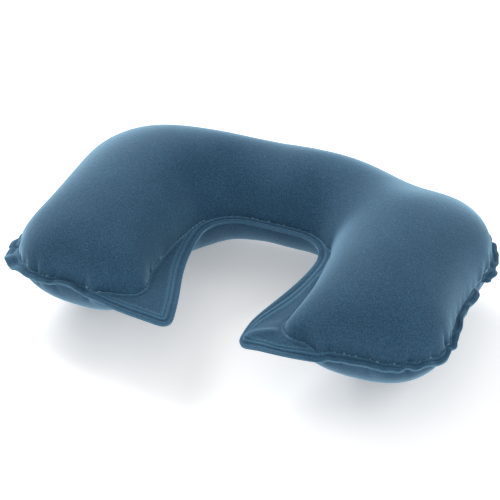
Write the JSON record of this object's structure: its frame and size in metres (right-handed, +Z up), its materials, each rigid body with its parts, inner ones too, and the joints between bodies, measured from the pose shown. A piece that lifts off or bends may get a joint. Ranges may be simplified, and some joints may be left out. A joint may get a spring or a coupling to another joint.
{
  "type": "camp pillow",
  "caption": "Inflatable U-shaped camp and travel pillow of flocked PVC panels welded around a flat rim, with webs at the arm ends and a push-in valve with a tethered plug on the back.",
  "frame": {"origin": "middle of the footprint, on the surface that the pillow rests on", "axes": "+X across the pillow to its right arm, +Y from the open mouth towards the closed back, +Z up"},
  "size_m": [0.37, 0.239, 0.101],
  "materials": {
    "upper_flocked_pvc": "short velvet flock on soft PVC film",
    "lower_flocked_pvc": "short velvet flock on soft PVC film",
    "valve_pvc": "soft moulded PVC, satin",
    "valve_film": "thin soft PVC film, satin"
  },
  "bodies": {
    "pillow": {"upper_panel": "upper_flocked_pvc", "lower_panel": "lower_flocked_pvc", "valve_seat": "valve_pvc", "valve_skirt": "valve_pvc"},
    "stem": {"valve_stem": "valve_pvc", "valve_strap": "valve_pvc"},
    "plug": {"valve_plug": "valve_pvc"},
    "flap": {"valve_flap": "valve_film"}
  },
  "joints": [
    {"name": "valve_pull", "type": "slide", "parent": "pillow", "child": "stem", "axis": [0, 0.7762, -0.6305], "range_m": [0, 0.012], "deforming": ["valve_skirt"]},
    {"name": "plug_hinge", "type": "hinge", "parent": "stem", "child": "plug", "pos_m": [0, 0.10621, 0.02882], "axis": [1, 0, 0], "range_deg": [0, 130]},
    {"name": "flap_hinge", "type": "hinge", "parent": "stem", "child": "flap", "pos_m": [0, 0.09849, 0.032], "axis": [-1, 0, 0], "range_deg": [0, 35], "stiffness_Nm_per_rad": 0.00005}
  ]
}
